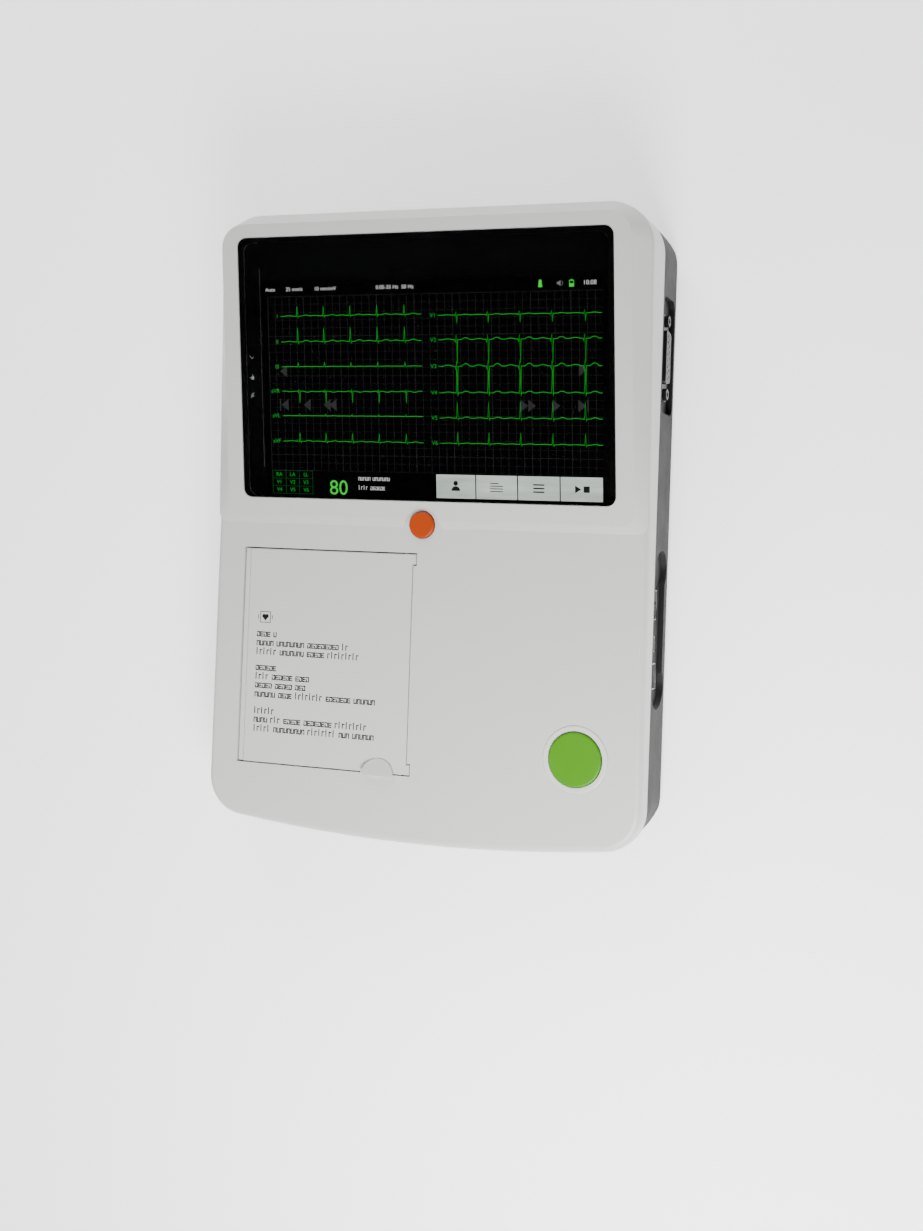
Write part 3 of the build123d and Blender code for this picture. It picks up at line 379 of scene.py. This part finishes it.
# heights of the layers below the pod's face, between the panel and the cover glass
ON_PANEL, ON_GRID, ON_ICON, ON_TRACE, ON_TEXT = -2.77, -2.73, -2.69, -2.56, -2.6
TRACE_GREEN = glowing("trace_green", (0.005, 0.60, 0.028), 1.3)
LABEL_GREEN = glowing("label_green", (0.008, 0.40, 0.03), 1.0)
BRIGHT_GREEN = glowing("bright_green", (0.010, 0.80, 0.04), 1.2)
FRAME_GREEN = glowing("frame_green", (0.004, 0.12, 0.012), 1.0)
DIM_GREY = glowing("dim_grey", (0.034, 0.036, 0.036), 1.0)
GRID_GREY = glowing("grid_grey", (0.026, 0.027, 0.027), 1.0, flicker=0.6)
TEXT_WHITE = glowing("text_white", (0.75, 0.76, 0.75), 1.0)
SIGN_WHITE = glowing("sign_white", (0.20, 0.21, 0.20), 1.0)
KEY_FACE = soft_key_look("key_face")
KEY_INK = glowing("key_ink", (0.015, 0.018, 0.016), 1.0)
SCREEN_BLACK = glowing("screen_black", (0.0003, 0.0003, 0.0003), 1.0, (0.0006, 0.0006, 0.0006))

backdrop = Sheet(POD, ON_PANEL)
backdrop.bar(*SCREEN)
backdrop.finish("screen_backdrop", SCREEN_BLACK)

grid = Sheet(POD, ON_GRID)
columns = int((GRID[2] - GRID[0]) / GRID_STEP) + 1
rows = int((GRID[3] - GRID[1]) / GRID_STEP) + 1
for i in range(columns):
    x = GRID[0] + i * GRID_STEP
    half = THIN_UPRIGHT if i % GRID_BOLD else BOLD_UPRIGHT
    grid.bar(x - half, GRID[1], x + half, GRID[3])
for i in range(rows):
    y = GRID[3] - i * GRID_STEP
    half = THIN_LEVEL if i % GRID_BOLD else BOLD_LEVEL
    grid.bar(GRID[0], y - half, GRID[2], y + half)
grid.finish("screen_grid", GRID_GREY)


# one beat, from its start: steps of the first wave, points of the spike, start and steps of the last
FIRST_STEP, FIRST_SHARE = 1.2, 0.5
SPIKE_AT = (5.9, 6.2, 6.6, 7.0, 7.3)
LAST_AT, LAST_STEP = 9.0, 0.8
LEAD_IN, BEATS = 2, 5


def beat(x, base, spike, dip, ripple):
    """One heartbeat from x on: a small first wave, the spike with its dip, and a round last wave."""
    run = [(x + FIRST_STEP * i, base + ripple * FIRST_SHARE * sin(pi * i / 4)) for i in range(5)]
    heights = (0, -0.12 * dip, spike, -dip, 0)
    run += [(x + at, base + height) for at, height in zip(SPIKE_AT, heights)]
    run += [(x + LAST_AT + LAST_STEP * i, base + ripple * sin(pi * i / 5)) for i in range(6)]
    return run


def trace(left, base, pitch, spike, dip, ripple, length):
    """A row of beats, closed by a short flat end."""
    run = [(left, base)]
    for count in range(BEATS):
        run += beat(left + LEAD_IN + count * pitch, base, spike, dip, ripple)
    return run + [(left + length, base)]


LEFT_X, LEFT_PITCH, LEFT_LENGTH = -70.0, 13.4, 70.5
RIGHT_X, RIGHT_PITCH, RIGHT_LENGTH = 8.6, 14.9, 76.0
TRACE_RADIUS = 0.105
LABEL_SIZE, LABEL_GAP = 2.7, (1.4, 1.0)
# row height, spike, dip and ripple of each lead
LEFT_ROWS = ((96.5, 4.4, 0.8, 0.5), (84.6, 6.4, 1.0, 0.7), (73.1, 1.9, 0.2, 0.1),
             (61.7, 0.8, 5.4, -0.5), (50.2, 0.9, 0.2, 0.1), (38.3, 4.0, 0.8, 0.4))
RIGHT_ROWS = ((95.8, 1.4, 3.6, 0.3), (84.8, 2.0, 10.6, 0.9), (72.9, 2.4, 13.4, 1.2),
              (61.0, 10.4, 1.2, 0.8), (49.6, 7.4, 1.0, 0.6), (38.2, 5.0, 0.9, 0.3))
runs = [trace(LEFT_X, row[0], LEFT_PITCH, *row[1:], LEFT_LENGTH) for row in LEFT_ROWS]
runs += [trace(RIGHT_X, row[0], RIGHT_PITCH, *row[1:], RIGHT_LENGTH) for row in RIGHT_ROWS]
wire("screen_traces", POD, runs, TRACE_RADIUS, ON_TRACE, TRACE_GREEN)

for row, label in zip(LEFT_ROWS, ("I", "II", "III", "aVR", "aVL", "aVF")):
    at = (LEFT_X - LABEL_GAP[0], row[0])
    lettering("lead_" + label, label, at, LABEL_SIZE, LABEL_GREEN, ON_TEXT, "RIGHT")
for row, label in zip(RIGHT_ROWS, ("V1", "V2", "V3", "V4", "V5", "V6")):
    at = (RIGHT_X - LABEL_GAP[1], row[0])
    lettering("lead_" + label, label, at, LABEL_SIZE, LABEL_GREEN, ON_TEXT, "RIGHT")

# status line: settings at the left, signs and a clock at the right
STATUS_Y, STATUS_SIZE = 108.9, 2.5
SETTINGS = ((-77.6, "Auto"), (-67.0, "25 mm/s"), (-52.5, "10 mm/mV"), (-21.5, "0.05-35 Hz  50 Hz"))
for x, words in SETTINGS:
    at = (x, STATUS_Y)
    lettering("status_" + str(int(abs(x))), words, at, STATUS_SIZE, TEXT_WHITE, ON_TEXT)
CLOCK_AT, CLOCK_SIZE = (76.2, STATUS_Y), 2.8
RATE_AT, RATE_SIZE = (-42.2, 16.6), 9.6
lettering("status_clock", "10:08", CLOCK_AT, CLOCK_SIZE, TEXT_WHITE, ON_TEXT)
lettering("heart_rate", "80", RATE_AT, RATE_SIZE, BRIGHT_GREEN, ON_TEXT, "CENTER")

FIGURE_X, BATTERY_X, SPEAKER_X = 56.8, 71.1, 65.1


def figure_sign(sheet, x, y):
    """A person: a head over a body that widens downwards."""
    sheet.disc((x, y + 1.0), 0.75)
    sheet.polygon([(x - 1.0, y - 1.6), (x + 1.0, y - 1.6), (x + 0.6, y + 1.0), (x - 0.6, y + 1.0)])


def battery_sign(sheet, x, y):
    """An upright battery, half full: its charge, walls, top and terminal."""
    sheet.bar(x - 1.1, y - 1.7, x + 1.1, y - 0.2)
    for side in (-0.95, 0.95):
        sheet.bar(x + side - 0.15, y - 1.7, x + side + 0.15, y + 1.2)
    sheet.bar(x - 1.1, y + 0.9, x + 1.1, y + 1.2)
    sheet.bar(x - 0.4, y + 1.2, x + 0.4, y + 1.6)


def speaker_sign(sheet, x, y):
    """A loudspeaker's cone and one sound wave."""
    lower = [(x - 0.7, y - 0.5), (x, y - 0.5), (x + 1.0, y - 1.4)]
    sheet.polygon(lower + [(x + 1.0, y + 1.4), (x, y + 0.5), (x - 0.7, y + 0.5)])
    sheet.ring((x + 0.8, y), 1.2, 0.2, -50, 50, 8)


status = Sheet(POD, ON_ICON)
figure_sign(status, FIGURE_X, STATUS_Y)
battery_sign(status, BATTERY_X, STATUS_Y)
status.finish("status_icons_green", BRIGHT_GREEN)
speaker = Sheet(POD, ON_ICON)
speaker_sign(speaker, SPEAKER_X, STATUS_Y)
speaker.finish("status_icon_speaker", SIGN_WHITE)

# lead-contact table at the lower left: a green frame and one name in each cell
CONTACT_X, CONTACT_Y, CELL_W, CELL_H = -76.2, 13.6, 6.9, 3.6
CELLS = 3  # each way
UPRIGHT_HALF, LEVEL_HALF, CONTACT_SIZE = 0.10, 0.08, 2.5
contacts = Sheet(POD, ON_ICON)
for i in range(CELLS + 1):
    x, y = CONTACT_X + i * CELL_W, CONTACT_Y + i * CELL_H
    contacts.bar(x - UPRIGHT_HALF, CONTACT_Y, x + UPRIGHT_HALF, CONTACT_Y + CELLS * CELL_H)
    contacts.bar(CONTACT_X, y - LEVEL_HALF, CONTACT_X + CELLS * CELL_W, y + LEVEL_HALF)
contacts.finish("contact_frame", FRAME_GREEN)
for index, label in enumerate(("RA", "LA", "LL", "V1", "V2", "V3", "V4", "V5", "V6")):
    row, column = divmod(index, CELLS)
    spot = (CONTACT_X + (column + 0.5) * CELL_W, CONTACT_Y + (CELLS - row - 0.5) * CELL_H)
    lettering("contact_" + label, label, spot, CONTACT_SIZE, LABEL_GREEN, ON_TEXT, "CENTER")

# faint step arrows over the traces
ARROW_W, ARROW_H, ARROW_ROW, ARROW_TOP = 3.6, 5.6, 55.3, 71.0
POINTING_LEFT = ((-71.0, ARROW_TOP),) + tuple((x, ARROW_ROW) for x in (-70.6, -59.2, -49.0, -46.0))
POINTING_RIGHT = ((77.6, ARROW_TOP),) + tuple((x, ARROW_ROW) for x in (50.6, 54.2, 65.4, 77.2))
END_BARS, BAR_HALF = (-71.2, 78.0), 0.3

arrows = Sheet(POD, ON_ICON)
for tips, way in ((POINTING_LEFT, 1), (POINTING_RIGHT, -1)):
    for x, y in tips:
        back = x + way * ARROW_W
        arrows.polygon([(x, y), (back, y + ARROW_H / 2), (back, y - ARROW_H / 2)])
for x in END_BARS:
    arrows.bar(x - BAR_HALF, ARROW_ROW - ARROW_H / 2, x + BAR_HALF, ARROW_ROW + ARROW_H / 2)
arrows.finish("step_arrows", DIM_GREY)

# four soft keys with plain pictures: a person, a written sheet, a list, and start and stop marks
KEY_EDGES = (6.2, 25.4, 45.2, 64.9, 84.6)
KEY_LOW, KEY_HIGH, KEY_GAP, KEY_THICK = 13.3, 24.0, 0.55, 0.08
keys = Sheet(POD, ON_ICON, KEY_THICK)
for left, right in zip(KEY_EDGES, KEY_EDGES[1:]):
    keys.bar(left + KEY_GAP / 2, KEY_LOW, right - KEY_GAP / 2, KEY_HIGH)
keys.finish("soft_keys", KEY_FACE)


def person(sheet, x, y):
    """A head over rounded shoulders."""
    sheet.disc((x, y + 1.5), 1.1)
    sheet.disc((x, y - 1.9), 2.1, 0, 180)


def written_sheet(sheet, x, y):
    """Four lines of writing, the top one short."""
    for rise in (-1.8, -0.6, 0.6, 1.8):
        end = x + (3 if rise < 1 else 1)
        sheet.bar(x - 3, y + rise - 0.2, end, y + rise + 0.2)


def menu_list(sheet, x, y):
    """Three thick lines."""
    for rise in (-1.6, 0, 1.6):
        sheet.bar(x - 2.6, y + rise - 0.3, x + 2.6, y + rise + 0.3)


def start_and_stop(sheet, x, y):
    """A triangle beside a square."""
    sheet.polygon([(x - 3.0, y - 1.7), (x - 0.2, y), (x - 3.0, y + 1.7)])
    sheet.bar(x + 0.9, y - 1.4, x + 3.7, y + 1.4)


icons = Sheet(POD, ON_TEXT)
pictures = (person, written_sheet, menu_list, start_and_stop)
for picture, left, right in zip(pictures, KEY_EDGES, KEY_EDGES[1:]):
    picture(icons, (left + right) / 2, (KEY_LOW + KEY_HIGH) / 2)
icons.finish("soft_key_icons", KEY_INK)


# ---------------------------------------------------------------- print whose marks are no letters
# each mark is a few strokes, measured in letter heights
GLYPHS = (
    (((0, 0), (0, 1)), ((0, 1), (0.7, 1)), ((0.7, 1), (0.7, 0))),
    (((0, 0), (0.7, 0)), ((0, 0), (0, 1)), ((0, 1), (0.7, 1)), ((0, 0.5), (0.6, 0.5))),
    (((0.1, 0), (0.1, 1.45)),),
    (((0, 1), (0, 0)), ((0, 0), (0.7, 0)), ((0.7, 0), (0.7, 1))),
    (((0, 0), (0.7, 0)), ((0.7, 0), (0.7, 1)), ((0, 1), (0.7, 1)), ((0, 0), (0, 0.5))),
    (((0, 0), (0, 1)), ((0, 1), (0.5, 1))),
)


def greek(sheet, x0, x1, y, height, width, seed):
    """A line of word-like marks between x0 and x1, repeating from a rule and not from any text."""
    x, count = x0, 0
    pitch = height * 0.95
    word = 4 + seed % 4
    while x < x1 - pitch:
        if count == word:
            x, count, word = x + pitch * 0.8, 0, 3 + (word * 5 + seed) % 7
            continue
        glyph = GLYPHS[(count * 3 + word + seed) % len(GLYPHS)]
        for a, b in glyph:
            start = (x + a[0] * height * 0.9, y + a[1] * height)
            sheet.stroke(start, (x + b[0] * height * 0.9, y + b[1] * height), width)
        x, count = x + pitch, count + 1


RECORD_X, RECORD_H, RECORD_STROKE = -32.0, 1.3, 0.28
patient_lines = Sheet(POD, ON_ICON)
for end, y, seed in ((-15.0, 20.6, 1), (-17.0, 16.3, 4)):
    greek(patient_lines, RECORD_X, end, y, RECORD_H, RECORD_STROKE, seed)
patient_lines.finish("screen_record_lines", TEXT_WHITE)

DOOR_INK = ink("door_ink", (0.008, 0.010, 0.011))
INK_Z, INK_THICK = 0.01, 0.02
TEXT_X, LETTER_H, STROKE = -82.0, 1.9, 0.5
# height on the door and right end of each printed line; headings are the short first ones
DOOR_LINES = ((-53.6, -69.8), (-57.8, -33.0), (-61.9, -28.0), (-69.4, -69.8), (-73.5, -53.4),
              (-77.6, -54.0), (-81.8, -19.0), (-89.6, -69.8), (-93.6, -21.0), (-97.8, -18.6))
door_print = Sheet(PANEL, INK_Z, INK_THICK)
for seed, (y, end) in enumerate(DOOR_LINES):
    greek(door_print, TEXT_X, end, y, LETTER_H, STROKE, seed)


def heart_in_box(sheet, x, y):
    """A heart inside a box, between two short upright bars."""
    for side in (-1, 1):
        sheet.disc((x + side * 0.75, y + 0.5), 0.95)
        bar_x = x + side * 3.6
        sheet.bar(bar_x - 0.18, y - 0.9, bar_x + 0.18, y + 0.9)
    sheet.polygon([(x - 1.62, y + 0.2), (x, y - 1.7), (x + 1.62, y + 0.2)])
    sheet.frame((x, y), 2.6, 2.5, 0.3)


heart_in_box(door_print, -78.1, -44.6)
door_print.finish("door_print", DOOR_INK, "door")

# black border printed on the back of the cover glass, out to its edge
GLASS_EDGE = (-90.6, 11.8, 90.6, 133.2)  # left, low, right, high
OPENING = (-87.9, 12.3, 87.9, 130.9)
BORDER_Z, BORDER_R = -1.75, 4.3


def rounded(left, low, right, high, radius, steps=8):
    """Corners of a rounded rectangle, anticlockwise from the right of its lower edge."""
    corners = []
    centres = ((right - radius, low + radius), (right - radius, high - radius),
               (left + radius, high - radius), (left + radius, low + radius))
    for (x, y), start in zip(centres, (-90, 0, 90, 180)):
        turn = [radians(start + 90 * i / steps) for i in range(steps + 1)]
        corners += [(x + radius * cos(t), y + radius * sin(t)) for t in turn]
    return corners


border = Sheet(POD, BORDER_Z)
outer, inner = rounded(*GLASS_EDGE, BORDER_R), rounded(*OPENING, BORDER_R)
for i in range(len(outer)):
    j = (i + 1) % len(outer)
    border.polygon([outer[i], outer[j], inner[j], inner[i]])
border.finish("glass_border", MASK)

# signs beside the three status lights, printed on the mask, and the screen's faint left edge
SIGN_GREY = ink("sign_grey", (0.30, 0.31, 0.31))
EDGE_GREY = ink("edge_grey", (0.035, 0.036, 0.036))
SIGN_X, ON_MASK = -85.3, -1.845
WAVE_Y, PLUG_Y, POWER_Y = 77.0, 68.3, 60.0
EDGE_LINE = (-80.25, 26.0, -79.85, 119.0)  # left, low, right, high


def strokes(sheet, at, lines, width):
    """Straight strokes between points given from a centre."""
    for a, b in lines:
        start = (at[0] + a[0], at[1] + a[1])
        sheet.stroke(start, (at[0] + b[0], at[1] + b[1]), width)


signs = Sheet(POD, ON_MASK, INK_THICK)
strokes(signs, (SIGN_X, WAVE_Y), (((-0.9, 1.3), (0.2, 0)), ((0.2, 0), (1.0, 0.7))), 0.25)
signs.bar(SIGN_X - 0.4, PLUG_Y - 1.1, SIGN_X + 1.0, PLUG_Y + 0.3)
signs.bar(SIGN_X - 1.3, PLUG_Y - 0.4, SIGN_X - 0.4, PLUG_Y)
signs.bar(SIGN_X + 0.1, PLUG_Y + 0.3, SIGN_X + 0.5, PLUG_Y + 1.3)
spark = (((-0.9, -1.4), (0.9, 1.0)), ((-0.2, 0.8), (0.7, -0.7)), ((-0.8, 0), (0.2, -1.0)))
strokes(signs, (SIGN_X, POWER_Y), spark, 0.3)
signs.finish("status_signs", SIGN_GREY, slot="led")
edge = Sheet(POD, ON_MASK, INK_THICK)
edge.bar(*EDGE_LINE)
edge.finish("screen_edge", EDGE_GREY)


# ---------------------------------------------------------------- floor, light and camera
FLOOR_SIZE, SKY_STRENGTH = 6, 0.28


def pale_floor():
    """A pale seamless floor, which glows a little so that it stays light around the casing."""
    bpy.ops.mesh.primitive_plane_add(size=FLOOR_SIZE)
    floor = bpy.context.object
    floor.name = "floor"
    look = Look("floor_paper", Roughness=0.9, Emission_Strength=1.1)
    look.shader.inputs["Emission Color"].default_value = (1, 1, 1, 1)
    tone = look.noise(3, 3)
    look.link(look.ramp(tone, (0.3, (0.95, 0.95, 0.95)), (0.7, (0.97, 0.97, 0.97))), "Base Color")
    floor.data.materials.append(look.material)


def soft_box(name, at, aim, size, watts):
    """A large square lamp at one point, facing another."""
    data = bpy.data.lights.new(name, "AREA")
    data.size = size
    data.energy = watts
    lamp = bpy.data.objects.new(name, data)
    bpy.context.collection.objects.link(lamp)
    lamp.location = at
    lamp.rotation_euler = (Vector(aim) - Vector(at)).to_track_quat("-Z", "Y").to_euler()


def sky():
    """Soft white light from the sides, darker overhead so that the glass stays black."""
    world = bpy.data.worlds.new("studio")
    bpy.context.scene.world = world
    world.use_nodes = True
    tree = world.node_tree
    where = tree.nodes.new("ShaderNodeTexCoord")
    split = tree.nodes.new("ShaderNodeSeparateXYZ")
    ramp = tree.nodes.new("ShaderNodeValToRGB")
    marks = ramp.color_ramp.elements
    stops = ((0.50, (1, 1, 1, 1)), (0.80, (0.015, 0.015, 0.016, 1)))
    for mark, (position, colour) in zip(marks, stops):
        mark.position = position
        mark.color = colour
    tree.links.new(where.outputs["Generated"], split.inputs[0])
    tree.links.new(split.outputs["Z"], ramp.inputs["Fac"])
    tree.links.new(ramp.outputs["Color"], tree.nodes["Background"].inputs["Color"])
    tree.nodes["Background"].inputs["Strength"].default_value = SKY_STRENGTH


# name, place, aim and side in metres, power in watts
LAMPS = (("key", (0.20, -0.40, 0.44), (0.0, -0.13, 0.04), 0.30, 7.5),
         ("side", (-0.75, -0.35, 0.6), (-0.05, -0.05, 0.04), 0.6, 3),
         ("rim", (-0.15, 0.85, 0.60), (0.0, 0.05, 0.05), 0.6, 8))
pale_floor()
sky()
for lamp in LAMPS:
    soft_box(*lamp)

CAMERA_AT = Vector((265.6, -18.1, 713.8)) * MM
CAMERA_TURN = (radians(5.09), radians(20.21), radians(2.56))
LENS, SENSOR, SHIFT_Y = 46.15, 36, -0.134
NEAR, FAR = 0.01, 20
camera_data = bpy.data.cameras.new("camera")
camera_data.lens = LENS
camera_data.sensor_width = SENSOR
camera_data.shift_y = SHIFT_Y
camera_data.clip_start = NEAR
camera_data.clip_end = FAR
camera = bpy.data.objects.new("camera", camera_data)
bpy.context.collection.objects.link(camera)
camera.location = CAMERA_AT
camera.rotation_euler = CAMERA_TURN
bpy.context.scene.camera = camera
